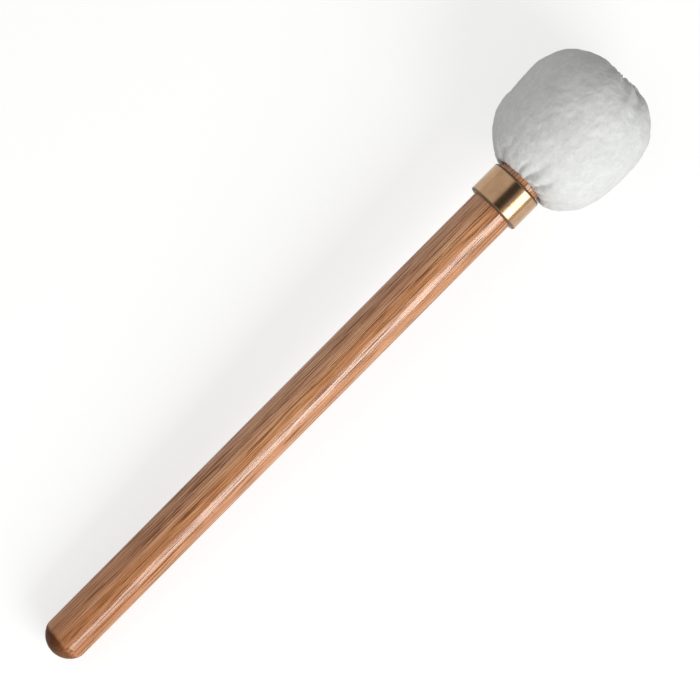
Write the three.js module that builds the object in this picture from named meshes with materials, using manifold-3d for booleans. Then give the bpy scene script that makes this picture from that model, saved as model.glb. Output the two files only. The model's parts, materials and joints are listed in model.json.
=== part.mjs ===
// A concert bass drum mallet. A straight oak handle carries a brass collar and, beyond it, a head:
// a wooden core held by a screw, wrapped in felt and closed in a fleece cover gathered at both ends.
// Millimetres, +Z up. The mallet lies as it is put down on a table, its head towards +X.
// Every piece is drawn along the mallet's own axis. A station is a distance along it from the butt's tip.
import * as THREE from 'three';
import { mergeVertices } from 'three/addons/utils/BufferGeometryUtils.js';
import Module from 'manifold-3d';

const wasm = await Module();
wasm.setup();

// Handle: a dowel with a domed butt, and a tenon for the core.
const handleDiameter = 22.2;
const gripLength = 292.6; // from the butt's tip to the collar
const buttDomeHeight = 7.5;
const buttEdgeInset = 0.25;
const buttEdgeLength = 1.1;
const tenonDiameter = 15.9;
const tenonChamfer = 1;

// Brass collar, the counterweight at the neck.
const collarDiameter = 27.7;
const collarLength = 17;
const collarEdgeRadius = 1.2;

// Cover: its outside is a barrel, fuller towards the neck than towards the crown.
const headDiameter = 67.2;
const neckReveal = 0.8; // bare wood between the collar and the cover's foremost crests
const neckHalfLength = 44.2; // of the barrel's curve, which the gathered mouth cuts short
const crownHalfLength = 28.2;
const coverWall = 3.4;
const hemDepth = 5.4; // from the foremost crests to the hem's inner face
const hemRound = 1.7;
const neckFoldDepth = 1.9;
const neckFoldLength = 20;
const crownFoldDepth = 1;
const crownFoldRadius = 19; // where the crown's folds have run out
const dimpleDepth = 2;
const dimpleRadius = 9;
const tuftRadius = 3.6; // the tied-off end of the cloth, turned inside at the crown
const tuftLength = 7;

// How square the barrel's shoulders are: powers of a rounded square, along the axis and across it.
const neckPowers = { along: 3.3, across: 2.2 };
const crownPowers = { along: 2.04, across: 2.93 };
const foldUnevenShare = 0.45; // how much shallower some folds are than others

// Draw threads, each tied in a ring with a knot.
const threadDiameter = 0.9;
const knotDiameter = 1.4;

// Filling of the head.
const neckPadThickness = 5.9;
const coreDiameter = 34;
const coreLength = 40;
const coreChamfer = 1.5;
const hardFeltThickness = 4.5;

// Screw and washer that hold the core on its tenon.
const washerDiameter = 25.4;
const washerThickness = 1.6;
const screwDiameter = 4.2;
const screwLength = 32; // under the head
const screwPointLength = 5;
const screwHeadDiameter = 8;
const screwHeadHeight = 2.8;
const screwSlotWidth = 1.2;
const screwSlotDepth = 1.3;
const pilotSpare = 1.5; // depth of the pilot hole beyond the screw's point

// Clearances.
const seatGap = 0.3; // between a piece and what it rests on or goes round
const cutOverrun = 2; // how far a cutting tool runs past what it cuts

// How finely round shapes are drawn.
const foldCount = 14;
const coverSectors = 4 * foldCount;
const handleSegments = 48;
const hiddenSegments = 24;

// Radii and stations that follow from the sizes, from the butt to the crown.
const handleRadius = handleDiameter / 2;
const headRadius = headDiameter / 2;
const mouthRadius = handleRadius + seatGap;
const crestRadius = mouthRadius + 2 * hemRound; // of the cover's foremost crests
const domeEnd = buttDomeHeight + buttEdgeLength;
const collarEnd = gripLength + collarLength;
const coverStart = collarEnd + neckReveal;
const mouthFace = coverStart + hemRound;
const hemFace = coverStart + hemDepth;
const shoulder = hemFace + seatGap + neckPadThickness; // where the handle steps down to its tenon
const coreStart = shoulder + seatGap;
const coreEnd = coreStart + coreLength;
const screwHeadFace = coreEnd - screwHeadHeight; // under the screw's head
const washerFace = screwHeadFace - seatGap - washerThickness;
const recessFloor = washerFace - seatGap;
const tenonEnd = recessFloor - seatGap;
const crestShare = (crestRadius / headRadius) ** neckPowers.across;
const widest = coverStart + neckHalfLength * (1 - crestShare) ** (1 / neckPowers.along);
const crownTop = widest + crownHalfLength;
const crownHoleRadius = tuftRadius + knotDiameter + 2 * seatGap;

// A point of the barrel's outline, moved in by an inset. The turn runs from 0 at the neck to PI at the crown.
function barrelPoint(turn, inset) {
  const radius = headRadius - inset;
  if (turn < Math.PI / 2) {
    return {
      station: widest - (neckHalfLength - inset) * Math.cos(turn) ** (2 / neckPowers.along),
      radius: radius * Math.sin(turn) ** (2 / neckPowers.across),
    };
  }
  const past = turn - Math.PI / 2;
  return {
    station: widest + (crownHalfLength - inset) * Math.sin(past) ** (2 / crownPowers.along),
    radius: radius * Math.max(0, Math.cos(past)) ** (2 / crownPowers.across),
  };
}

// The turn at which the barrel's outline reaches a station.
function turnAtStation(station, inset) {
  if (station < widest) {
    const share = Math.min(1, (widest - station) / (neckHalfLength - inset));
    return Math.acos(share ** (neckPowers.along / 2));
  }
  const share = Math.min(1, (station - widest) / (crownHalfLength - inset));
  return Math.PI / 2 + Math.asin(share ** (crownPowers.along / 2));
}

// The turn past the widest place at which the barrel's outline has drawn in to a radius.
function turnAtCrownRadius(radius, inset) {
  const share = Math.min(1, radius / (headRadius - inset));
  return Math.PI / 2 + Math.acos(share ** (crownPowers.across / 2));
}

// A number of even steps from one value to another, both ends included.
function steps(from, to, count) {
  return Array.from({ length: count + 1 }, (_, i) => from + ((to - from) * i) / count);
}

// A stretch of the barrel's outline, as [station, radius] points.
function barrelStretch(fromTurn, toTurn, count, inset) {
  return steps(fromTurn, toTurn, count).map((turn) => {
    const { station, radius } = barrelPoint(turn, inset);
    return [station, radius];
  });
}

// An arc as [station, radius] points. Angles run from the crown's way towards the outside.
function arc(station, radius, size, fromAngle, toAngle, count) {
  return steps(fromAngle, toAngle, count)
    .map((angle) => [station + size * Math.cos(angle), radius + size * Math.sin(angle)]);
}

// A body turned about the axis from its [station, radius] outline, which starts and ends on the axis.
function turned(outline, segments) {
  const points = outline.map(([station, radius]) => new THREE.Vector2(radius, station));
  return new THREE.LatheGeometry(points, segments, Math.PI / segments);
}

// A turned ring, whose outline closes on itself.
function turnedRing(outline, segments) {
  return turned([...outline, outline[0]], segments);
}

// Closed geometry as a solid that can be cut and joined.
function solidOf(geometry) {
  const bare = geometry.clone();
  bare.deleteAttribute('normal');
  bare.deleteAttribute('uv');
  const merged = mergeVertices(bare, 1e-4);
  return new wasm.Manifold(new wasm.Mesh({
    numProp: 3,
    vertProperties: merged.attributes.position.array,
    triVerts: new Uint32Array(merged.index.array),
  }));
}

// A cut or joined solid back as geometry.
function geometryOf(solid) {
  const mesh = solid.getMesh();
  return new THREE.BufferGeometry()
    .setAttribute('position', new THREE.BufferAttribute(Float32Array.from(mesh.vertProperties), 3))
    .setIndex(new THREE.BufferAttribute(Uint32Array.from(mesh.triVerts), 1));
}

// Handle, from the domed butt to the tenon, with the pilot hole in the tenon's end.
function handleGeometry() {
  const domeBase = handleRadius - buttEdgeInset;
  const domeRadius = (domeBase ** 2 + buttDomeHeight ** 2) / (2 * buttDomeHeight);
  const domeAngle = Math.asin(domeBase / domeRadius);
  const pilotRadius = screwDiameter / 2 + seatGap;
  const pilotEnd = screwHeadFace - screwLength - pilotSpare;
  return turned([
    [0, 0],
    ...arc(domeRadius, 0, domeRadius, Math.PI, Math.PI - domeAngle, 9).slice(1),
    [domeEnd, handleRadius],
    [shoulder, handleRadius],
    [shoulder, tenonDiameter / 2],
    [tenonEnd - tenonChamfer, tenonDiameter / 2],
    [tenonEnd, tenonDiameter / 2 - tenonChamfer],
    [tenonEnd, pilotRadius],
    [pilotEnd, pilotRadius],
    [pilotEnd - pilotRadius, 0],
  ], handleSegments);
}

// Brass collar, a heavy ring with rounded rims.
function collarGeometry() {
  const bore = handleRadius + seatGap;
  const rim = collarDiameter / 2 - collarEdgeRadius;
  return turnedRing([
    [gripLength, bore],
    ...arc(gripLength + collarEdgeRadius, rim, collarEdgeRadius, Math.PI, Math.PI / 2, 3),
    ...arc(collarEnd - collarEdgeRadius, rim, collarEdgeRadius, Math.PI / 2, 0, 3),
    [collarEnd, bore],
  ], handleSegments);
}

// 1 at the near end of a fade and 0 at its far end, smooth between.
function fade(value, near, far) {
  const share = Math.min(1, Math.max(0, (value - near) / (far - near)));
  return 1 - share * share * (3 - 2 * share);
}

// How far a fold sinks at a sector: 0 on its crest, and up to 1 in its crease.
function foldSink(sector, phase) {
  const crease = 0.5 - 0.5 * Math.cos((2 * Math.PI * foldCount * sector) / coverSectors);
  const unevenness = Math.sin((4 * Math.PI * sector) / coverSectors + phase) ** 2;
  return crease * (1 - foldUnevenShare * unevenness);
}

// Rings of the cover's outside, from the mouth to the crown. Beside its station and radius each ring has
// the way in which its folds sink, and how deep the neck's and the crown's folds are there.
function coverRings() {
  const noseSteps = 2;
  const nose = arc(mouthFace, crestRadius, hemRound, 1.5 * Math.PI, Math.PI, noseSteps)
    .map(([station, radius], i) => (
      { station, radius, sink: [1, 0], neck: (neckFoldDepth * i) / noseSteps, crown: 0 }
    ));
  const barrelFrom = turnAtStation(coverStart + hemRound / 4, 0);
  const barrelTo = turnAtCrownRadius(dimpleRadius, 0);
  const barrel = steps(barrelFrom, barrelTo, 10).map((turn) => {
    const outside = barrelPoint(turn, 0);
    const inside = barrelPoint(turn, coverWall);
    const wall = Math.hypot(inside.station - outside.station, inside.radius - outside.radius);
    return {
      ...outside,
      sink: [(inside.station - outside.station) / wall, (inside.radius - outside.radius) / wall],
      neck: neckFoldDepth * fade(outside.station, coverStart, coverStart + neckFoldLength),
      crown: turn < Math.PI / 2 ? 0 : crownFoldDepth * fade(outside.radius, dimpleRadius, crownFoldRadius),
    };
  });
  const dimple = {
    station: crownTop - dimpleDepth / 2,
    radius: dimpleRadius / 2,
    sink: [-1, 0],
    neck: 0,
    crown: crownFoldDepth / 2,
  };
  return [...nose, ...barrel, dimple];
}

// The cover's outside as one full lump, pleated at both ends.
function coverLump() {
  const rings = coverRings();
  const positions = [];
  for (const ring of rings) {
    for (let s = 0; s < coverSectors; s++) {
      const angle = (2 * Math.PI * (s + 0.5)) / coverSectors;
      const depth = ring.neck * foldSink(s, 1) + ring.crown * foldSink(s, 2);
      const station = ring.station + ring.sink[0] * depth;
      const radius = ring.radius + ring.sink[1] * depth;
      positions.push(radius * Math.sin(angle), station, radius * Math.cos(angle));
    }
  }
  positions.push(0, mouthFace, 0);
  positions.push(0, crownTop - dimpleDepth, 0);
  const lastRing = (rings.length - 1) * coverSectors;
  const mouthPole = lastRing + coverSectors;
  const crownPole = mouthPole + 1;
  const index = [];
  for (let s = 0; s < coverSectors; s++) {
    const next = (s + 1) % coverSectors;
    index.push(mouthPole, next, s);
    index.push(lastRing + s, lastRing + next, crownPole);
    for (let ring = 0; ring < lastRing; ring += coverSectors) {
      const above = ring + coverSectors;
      index.push(ring + s, ring + next, above + next, ring + s, above + next, above + s);
    }
  }
  return new THREE.BufferGeometry()
    .setAttribute('position', new THREE.BufferAttribute(new Float32Array(positions), 3))
    .setIndex(index);
}

// Where the neck's thread lies in the hem, and the crown's thread under the crown.
const neckThreadStation = (mouthFace + hemFace) / 2;
const crownCeiling = barrelPoint(turnAtCrownRadius(crownHoleRadius, coverWall), coverWall).station;
const crownThreadStation = crownCeiling - seatGap - knotDiameter / 2;

// The cover's hollow: the mouth's bore with the thread's groove, the felt's room, and a slot round the tuft.
function coverHollow() {
  const grooveRadius = mouthRadius + seatGap + knotDiameter;
  const grooveHalf = knotDiameter / 2 + seatGap;
  return turned([
    [coverStart - cutOverrun, 0],
    [coverStart - cutOverrun, mouthRadius],
    [neckThreadStation - grooveHalf, mouthRadius],
    [neckThreadStation - grooveHalf, grooveRadius],
    [neckThreadStation + grooveHalf, grooveRadius],
    [neckThreadStation + grooveHalf, mouthRadius],
    [hemFace, mouthRadius],
    ...barrelStretch(turnAtStation(hemFace, coverWall), turnAtStation(shoulder, coverWall), 2, coverWall),
    ...barrelStretch(turnAtStation(coreStart, coverWall), turnAtStation(coreEnd, coverWall), 2, coverWall),
    ...barrelStretch(
      turnAtStation(coreEnd + seatGap, coverWall),
      turnAtCrownRadius(crownHoleRadius, coverWall),
      2,
      coverWall,
    ),
    [crownCeiling, tuftRadius],
    [crownCeiling - tuftLength, tuftRadius],
    [crownCeiling - tuftLength, 0],
  ], hiddenSegments);
}

// Fleece cover: a bag, gathered at its mouth round the handle and tied off at the crown.
function coverGeometry() {
  return geometryOf(solidOf(coverLump()).subtract(solidOf(coverHollow())));
}

// A thread tied in a ring round the axis, with its knot lying outwards.
function threadGeometry(station, innerRadius) {
  const ringRadius = innerRadius + threadDiameter / 2;
  const loop = new THREE.TorusGeometry(ringRadius, threadDiameter / 2, 6, hiddenSegments)
    .rotateX(Math.PI / 2)
    .translate(0, station, 0);
  const knot = new THREE.SphereGeometry(knotDiameter / 2, 8, 6)
    .translate(0, station, innerRadius + knotDiameter / 2);
  return geometryOf(solidOf(loop).add(solidOf(knot)));
}

// Felt washer round the handle, between the hem and the core.
function neckPadGeometry() {
  const inset = coverWall + seatGap;
  const face = hemFace + seatGap;
  return turnedRing([
    [face, mouthRadius],
    ...barrelStretch(turnAtStation(face, inset), turnAtStation(shoulder, inset), 2, inset),
    [shoulder, mouthRadius],
  ], hiddenSegments);
}

// Felt pad over the core's end, with a hole that clears the tied tuft.
function crownPadGeometry() {
  const inset = coverWall + seatGap;
  const face = coreEnd + seatGap;
  return turnedRing([
    [face, crownHoleRadius],
    ...barrelStretch(turnAtStation(face, inset), turnAtCrownRadius(crownHoleRadius, inset), 2, inset),
  ], hiddenSegments);
}

// Hard felt, wound straight on the core.
function hardFeltGeometry() {
  const inner = coreDiameter / 2 + seatGap;
  return turnedRing([
    [coreStart, inner],
    [coreStart, inner + hardFeltThickness],
    [coreEnd, inner + hardFeltThickness],
    [coreEnd, inner],
  ], hiddenSegments);
}

// Soft felt, which fills the cover out to its barrel shape.
function softFeltGeometry() {
  const inset = coverWall + seatGap;
  const inner = coreDiameter / 2 + hardFeltThickness + 2 * seatGap;
  return turnedRing([
    [coreStart, inner],
    ...barrelStretch(turnAtStation(coreStart, inset), turnAtStation(coreEnd, inset), 2, inset),
    [coreEnd, inner],
  ], hiddenSegments);
}

// Turned core, bored for the tenon and recessed for the washer.
function coreGeometry() {
  const outer = coreDiameter / 2;
  const bore = tenonDiameter / 2 + seatGap;
  const recess = washerDiameter / 2 + seatGap;
  return turnedRing([
    [coreStart, bore],
    [coreStart, outer - coreChamfer],
    [coreStart + coreChamfer, outer],
    [coreEnd - coreChamfer, outer],
    [coreEnd, outer - coreChamfer],
    [coreEnd, recess],
    [recessFloor, recess],
    [recessFloor, bore],
  ], hiddenSegments);
}

// Steel washer in the core's recess.
function washerGeometry() {
  const bore = screwDiameter / 2 + seatGap;
  return turnedRing([
    [washerFace, bore],
    [washerFace, washerDiameter / 2],
    [washerFace + washerThickness, washerDiameter / 2],
    [washerFace + washerThickness, bore],
  ], hiddenSegments);
}

// Slotted screw, its point towards the butt.
function screwGeometry() {
  const shank = screwDiameter / 2;
  const head = screwHeadDiameter / 2;
  const body = turned([
    [screwHeadFace - screwLength, 0],
    [screwHeadFace - screwLength + screwPointLength, shank],
    [screwHeadFace, shank],
    [screwHeadFace, head],
    [coreEnd - screwHeadHeight / 3, head],
    [coreEnd, 2 * head / 3],
    [coreEnd, 0],
  ], hiddenSegments);
  const slotLength = screwHeadDiameter + cutOverrun;
  const slot = new THREE.BoxGeometry(slotLength, screwSlotDepth + cutOverrun, screwSlotWidth)
    .translate(0, coreEnd + (cutOverrun - screwSlotDepth) / 2, 0);
  return geometryOf(solidOf(body).subtract(solidOf(slot)));
}

// The tilt of the mallet when it touches the table with its butt and its head.
function restingTilt() {
  const buttReach = handleRadius * Math.cos(Math.PI / handleSegments);
  const leans = coverRings().map(({ station, radius }) => (
    Math.atan2(radius * Math.cos(Math.PI / coverSectors) - buttReach, station - domeEnd)
  ));
  return Math.max(...leans);
}

const oak = new THREE.MeshStandardMaterial({ color: 0xb9835a, roughness: 0.42 });
const brass = new THREE.MeshStandardMaterial({ color: 0xc79a5b, roughness: 0.3, metalness: 1 });
const maple = new THREE.MeshStandardMaterial({ color: 0xd8b98c, roughness: 0.6 });
const hardFelt = new THREE.MeshStandardMaterial({ color: 0xb9b6ae, roughness: 1 });
const softFelt = new THREE.MeshStandardMaterial({ color: 0xe4e2dc, roughness: 1 });
const fleece = new THREE.MeshStandardMaterial({ color: 0xe9ebea, roughness: 1 });
const linen = new THREE.MeshStandardMaterial({ color: 0xf2efe6, roughness: 0.8 });
const steel = new THREE.MeshStandardMaterial({ color: 0x9a9ca0, roughness: 0.35, metalness: 1 });

const mallet = new THREE.Group();

function addPiece(name, geometry, material) {
  const mesh = new THREE.Mesh(geometry, material);
  mesh.name = name;
  mallet.add(mesh);
}

addPiece('handle_shaft', handleGeometry(), oak);
addPiece('brass_collar', collarGeometry(), brass);
addPiece('head_core', coreGeometry(), maple);
addPiece('core_washer', washerGeometry(), steel);
addPiece('core_screw', screwGeometry(), steel);
addPiece('hard_felt_wrap', hardFeltGeometry(), hardFelt);
addPiece('soft_felt_wrap', softFeltGeometry(), softFelt);
addPiece('neck_felt_pad', neckPadGeometry(), softFelt);
addPiece('crown_felt_pad', crownPadGeometry(), softFelt);
addPiece('fleece_cover', coverGeometry(), fleece);
addPiece('neck_draw_thread', threadGeometry(neckThreadStation, mouthRadius), linen);
addPiece('crown_draw_thread', threadGeometry(crownThreadStation, tuftRadius + seatGap), linen);

// The axis turns from upright to lying along X, then leans up towards the head.
mallet.rotation.z = -Math.PI / 2;
const lying = new THREE.Group();
lying.add(mallet);
lying.rotation.y = -restingTilt();

// The origin goes under the middle of the mallet, on the table.
const part = new THREE.Group();
part.add(lying);
part.updateMatrixWorld(true);
const box = new THREE.Box3().setFromObject(part, true);
const middle = box.getCenter(new THREE.Vector3());
lying.position.set(-middle.x, -middle.y, -box.min.z);

export default part;
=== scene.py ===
# %% [markdown]
# Bass drum mallet, dressed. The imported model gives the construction: a handle, a collar, and a head
# whose core, screw and felts are closed in a cover. This lesson gives each piece that shows a fine mesh
# and a finish, and it leaves every piece where the model has it. It starts with the frame, because
# all later sizes and places are read from it.

# %% Load the frame
import json
import math

import bmesh
import bpy
import numpy as np
from mathutils import Matrix, Vector, noise


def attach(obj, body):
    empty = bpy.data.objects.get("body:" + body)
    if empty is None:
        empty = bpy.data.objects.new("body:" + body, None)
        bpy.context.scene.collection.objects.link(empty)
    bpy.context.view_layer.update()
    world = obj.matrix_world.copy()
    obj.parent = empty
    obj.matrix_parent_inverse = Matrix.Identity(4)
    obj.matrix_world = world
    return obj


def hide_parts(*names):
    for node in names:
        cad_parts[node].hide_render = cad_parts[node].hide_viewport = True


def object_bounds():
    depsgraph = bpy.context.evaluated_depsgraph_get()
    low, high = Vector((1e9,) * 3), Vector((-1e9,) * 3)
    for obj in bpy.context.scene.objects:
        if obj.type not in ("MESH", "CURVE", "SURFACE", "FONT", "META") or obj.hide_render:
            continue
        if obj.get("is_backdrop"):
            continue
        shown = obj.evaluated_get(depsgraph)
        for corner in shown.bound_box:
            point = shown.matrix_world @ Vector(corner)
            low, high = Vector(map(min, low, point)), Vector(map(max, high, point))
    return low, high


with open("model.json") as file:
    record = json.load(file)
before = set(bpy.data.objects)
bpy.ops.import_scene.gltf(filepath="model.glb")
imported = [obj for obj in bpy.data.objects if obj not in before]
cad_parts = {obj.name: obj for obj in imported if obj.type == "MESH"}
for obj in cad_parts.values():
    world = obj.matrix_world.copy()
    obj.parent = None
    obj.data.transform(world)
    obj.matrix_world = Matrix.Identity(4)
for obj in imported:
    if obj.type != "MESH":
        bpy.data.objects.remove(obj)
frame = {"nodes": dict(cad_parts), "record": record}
cad_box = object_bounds()
MM = 0.001
print("box of the model, mm", [[round(x / MM, 1) for x in corner] for corner in cad_box])

# %% [markdown]
# A mallet is a turned thing, so every piece is easiest to draw along its axis: a station is a distance
# from the butt's tip, a radius is a distance from the axis, and an angle runs round it. The axis comes
# from the one mount, the flat rim of the collar, which faces the butt. Angle 0 faces up, where the
# camera is, and a quarter turn faces the side that the light comes from.

# %% Axis of the mallet
towards_head = -Vector(frame["record"]["mounts"][0]["axis"]).normalized()
lit_side = Vector((0, -1, 0))
upward = lit_side.cross(towards_head)
lean = math.atan2(towards_head.z, towards_head.x)


def corners_of(node):
    """The corners of a CAD node's mesh, one row each."""
    vertices = frame["nodes"][node].data.vertices
    corners = np.empty(3 * len(vertices))
    vertices.foreach_get("co", corners)
    return corners.reshape(-1, 3)


handle_corners = corners_of("handle_shaft")
butt = Vector(handle_corners[np.argmin(handle_corners @ np.array(towards_head))])


def measured(node):
    """The lowest and highest station of a CAD node, and its least and largest radius."""
    away = corners_of(node) - np.array(butt)
    stations = away @ np.array(towards_head)
    radii = np.linalg.norm(away - np.outer(stations, towards_head), axis=1)
    return stations.min(), stations.max(), radii.min(), radii.max()


handle_end, handle_radius = measured("handle_shaft")[1::2]
collar_start, collar_end, _, collar_radius = measured("brass_collar")
cover_start = measured("fleece_cover")[0]
print("handle, mm", round(handle_end / MM, 2), round(handle_radius / MM, 2))
print("collar, mm", round(collar_start / MM, 2), round(collar_end / MM, 2), round(collar_radius / MM, 2))
print("cover from", round(cover_start / MM, 2), "mm")

# %% [markdown]
# The camera looks at the mallet squarely, from above, and is turned so that the mallet lies across
# the picture from corner to corner. It stands a little over a metre away, as for a catalogue picture,
# so the lens is long. The place that it looks at is given as a station on the axis, and it stands a
# little to the shaded side. Lens and film are in millimetres, as Blender has them.

# %% Camera
camera_distance = 1.1734
camera_station = 0.1988
camera_aside = 0.75 * MM
camera_lens = 128.57
film_width = 36
picture_turn = math.radians(45.19)
camera_data = bpy.data.cameras.new("camera")
camera_data.lens = camera_lens
camera_data.sensor_width = film_width
camera = bpy.data.objects.new("camera", camera_data)
bpy.context.scene.collection.objects.link(camera)
picture_right = math.cos(picture_turn) * towards_head + math.sin(picture_turn) * lit_side
picture_up = upward.cross(picture_right)
camera.matrix_world = Matrix.Translation(
    butt + towards_head * camera_station - lit_side * camera_aside + upward * camera_distance
) @ Matrix((picture_right, picture_up, upward)).transposed().to_4x4()
bpy.context.scene.camera = camera
bpy.context.scene.view_settings.view_transform = "Standard"
print("camera at", [round(x, 3) for x in camera.matrix_world.translation])

# %% [markdown]
# A turned piece is a grid of points: rows along its outline, columns round the axis. Blender's Screw
# modifier would turn an outline too, but the cloth of the head isn't round, so all grids are made as
# arrays and one function turns them into meshes. A row of radius 0 shrinks to a single point. Smooth
# shading blends the normals at a face's corners, so a long face beside a small round would shine
# crookedly: each straight of an outline gets a point close to either end, which keeps it straight.

# %% Grids and meshes
weld_distance = 0.001 * MM


def round_angles(columns):
    """Even angles round the axis, without the last, which is the first again."""
    return np.arange(columns) * 2 * math.pi / columns


def place(station, radius, angle):
    """Points in the frame for stations, radii and angles, which may be arrays."""
    station, radius, angle = (a[..., None] for a in np.broadcast_arrays(station, radius, angle))
    spoke = np.cos(angle) * np.array(upward) + np.sin(angle) * np.array(lit_side)
    return np.array(butt) + station * np.array(towards_head) + radius * spoke


def grid_faces(rows, columns, loop=False):
    """Faces between the rows of a grid that closes round the axis."""
    faces = []
    for row in range(rows if loop else rows - 1):
        here = row * columns
        above = (row + 1) % rows * columns
        for column in range(columns):
            beside = (column + 1) % columns
            faces.append((here + column, here + beside, above + beside, above + column))
    return faces


def mesh_object(name, points, faces, sharp=40):
    """A smooth-shaded object, with its doubled points joined and its faces turned outwards.
    Edges that turn by more than sharp, in degrees, stay sharp."""
    mesh = bpy.data.meshes.new(name)
    mesh.from_pydata(points.reshape(-1, 3).tolist(), [], faces)
    shape = bmesh.new()
    shape.from_mesh(mesh)
    bmesh.ops.remove_doubles(shape, verts=shape.verts, dist=weld_distance)
    bmesh.ops.recalc_face_normals(shape, faces=shape.faces)
    shape.to_mesh(mesh)
    shape.free()
    mesh.shade_smooth()
    mesh.set_sharp_from_angle(angle=math.radians(sharp))
    made = bpy.data.objects.new(name, mesh)
    bpy.context.scene.collection.objects.link(made)
    return made


def braced(outline, loop=False, margin=0.3 * MM):
    """The outline with a point near each end of its straights. Shorter lines are parts of a round."""
    shortest_straight = 6 * margin
    ends = np.roll(outline, -1, axis=0) if loop else outline[1:]
    line = []
    for here, after in zip(outline, ends):
        line.append(here)
        length = np.linalg.norm(after - here)
        if length > shortest_straight:
            line += [here + (after - here) * share for share in (margin / length, 1 - margin / length)]
    return np.array(line if loop else [*line, outline[-1]])


def turned_object(name, outline, columns=128, loop=False):
    """A turned piece from its [station, radius] outline."""
    outline = braced(outline, loop)
    grid = place(outline[:, :1], outline[:, 1:], round_angles(columns)[None, :])
    return mesh_object(name, grid, grid_faces(len(outline), columns, loop))


def rounded(corners, steps=4):
    """An outline whose corners, given as (station, radius, rounding), are cut by arcs."""
    line = []
    for i, (station, radius, rounding) in enumerate(corners):
        here = Vector((station, radius))
        if not rounding:
            line.append(tuple(here))
            continue
        back = (Vector(corners[i - 1][:2]) - here).normalized()
        on = (Vector(corners[(i + 1) % len(corners)][:2]) - here).normalized()
        half = back.angle(on) / 2
        centre = here + (back + on).normalized() * rounding / math.sin(half)
        first = here + back * rounding / math.tan(half) - centre
        last = here + on * rounding / math.tan(half) - centre
        turn = -first.angle_signed(last)
        for step in range(steps + 1):
            line.append(tuple(centre + Matrix.Rotation(turn * step / steps, 2) @ first))
    return np.array(line)


def settle(piece, slot, *nodes):
    """The piece rides with the mallet and stands for the CAD nodes, which are hidden. The slot is not
    used.
    """
    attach(piece, "root")
    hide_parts(*nodes)
    print(piece.name, len(piece.data.polygons), "faces")
    return piece


# %% [markdown]
# Every finish here is worked out from a point's place on the mallet, not from a picture. Such sums read
# best as ordinary sums, so a small class wraps a socket and turns +, -, * and / into Math nodes. A
# second class holds the shader, and makes any other node with one method.

# %% Shader sums
class Value:
    """An output of a shader node that can be reckoned with as a number."""

    def __init__(self, finish, socket):
        self.finish = finish
        self.socket = socket

    def math(self, operation, first, second=0.5):
        """One Math node. An operation on one number leaves the second aside."""
        return self.finish.node("ShaderNodeMath", {"operation": operation}, {0: first, 1: second})

    def __add__(self, other):
        return self.math("ADD", self, other)

    def __sub__(self, other):
        return self.math("SUBTRACT", self, other)

    def __rsub__(self, other):
        return self.math("SUBTRACT", other, self)

    def __mul__(self, other):
        return self.math("MULTIPLY", self, other)

    def __truediv__(self, other):
        return self.math("DIVIDE", self, other)

    def __pow__(self, other):
        return self.math("POWER", self, other)

    __radd__ = __add__
    __rmul__ = __mul__

    def fraction(self):
        return self.math("FRACT", self)

    def size(self):
        return self.math("ABSOLUTE", self)

    def between(self, low, high):
        """0 below low, 1 above high and smooth between."""
        settings = {"interpolation_type": "SMOOTHSTEP"}
        return self.finish.node("ShaderNodeMapRange", settings, {0: self, 1: low, 2: high})


class Finish:
    """The nodes of a material, or of the world. Its constants go on the shader's own sockets."""

    def __init__(self, owner, shader="Principled BSDF", **constants):
        owner.use_nodes = True
        self.owner = owner
        self.tree = owner.node_tree
        self.shader = self.tree.nodes[shader]
        for socket, value in constants.items():
            self.shader.inputs[socket.replace("_", " ")].default_value = value

    def node(self, kind, settings=None, inputs=None, output=0):
        """Adds a node: its settings first, then values or links for its sockets. Gives one output."""
        made = self.tree.nodes.new(kind)
        for key, value in (settings or {}).items():
            setattr(made, key, value)
        for key, value in (inputs or {}).items():
            if isinstance(value, Value):
                self.tree.links.new(value.socket, made.inputs[key])
            else:
                made.inputs[key].default_value = value
        return Value(self, made.outputs[output])

    def combine(self, operation, first, second, output=0):
        """Vector maths."""
        return self.node("ShaderNodeVectorMath", {"operation": operation}, {0: first, 1: second}, output)

    def on_the_mallet(self, turn=(0, 0, 0)):
        """The point's place with X along the mallet's axis from the butt, turned a little if asked."""
        place = self.combine("SUBTRACT", self.node("ShaderNodeTexCoord", output="Object"), butt)
        for rotation in ((0, lean, 0), turn):
            if any(rotation):
                place = self.node("ShaderNodeMapping", {}, {"Vector": place, "Rotation": rotation})
        return place

    def clouds(self, place, features, detail=2, roughness=0.5):
        """Soft noise from 0 to 1, with so many features to the metre in X, Y and Z."""
        place = self.combine("MULTIPLY", place, features)
        inputs = {"Vector": place, "Scale": 1, "Detail": detail, "Roughness": roughness}
        return self.node("ShaderNodeTexNoise", {}, inputs)

    def mix(self, share, first, second):
        """A colour between two, which are the node's sockets 6 and 7."""
        first, second = (c if isinstance(c, Value) else (*c, 1) for c in (first, second))
        inputs = {0: share, 6: first, 7: second}
        return self.node("ShaderNodeMix", {"data_type": "RGBA"}, inputs, output=2)

    def parts(self, vector):
        """The three numbers of a vector."""
        split = self.node("ShaderNodeSeparateXYZ", {}, {0: vector}).socket.node
        return [Value(self, socket) for socket in split.outputs]

    def feed(self, **sockets):
        """Links what changes over the surface to the shader."""
        for socket, value in sockets.items():
            self.tree.links.new(value.socket, self.shader.inputs[socket.replace("_", " ")])

    def relief(self, height, depth, strength):
        """A bump. Height 1 stands for a depth in metres."""
        inputs = {"Strength": strength, "Distance": depth, "Height": height}
        self.feed(Normal=self.node("ShaderNodeBump", {}, inputs))

    def on(self, *pieces):
        """Gives pieces this finish in place of what they had."""
        for piece in pieces:
            piece.data.materials.clear()
            piece.data.materials.append(self.owner)
        print(self.owner.name, "has", len(self.tree.nodes), "nodes, on", [piece.name for piece in pieces])


def new_finish(name, **constants):
    return Finish(bpy.data.materials.new(name), **constants)


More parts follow.
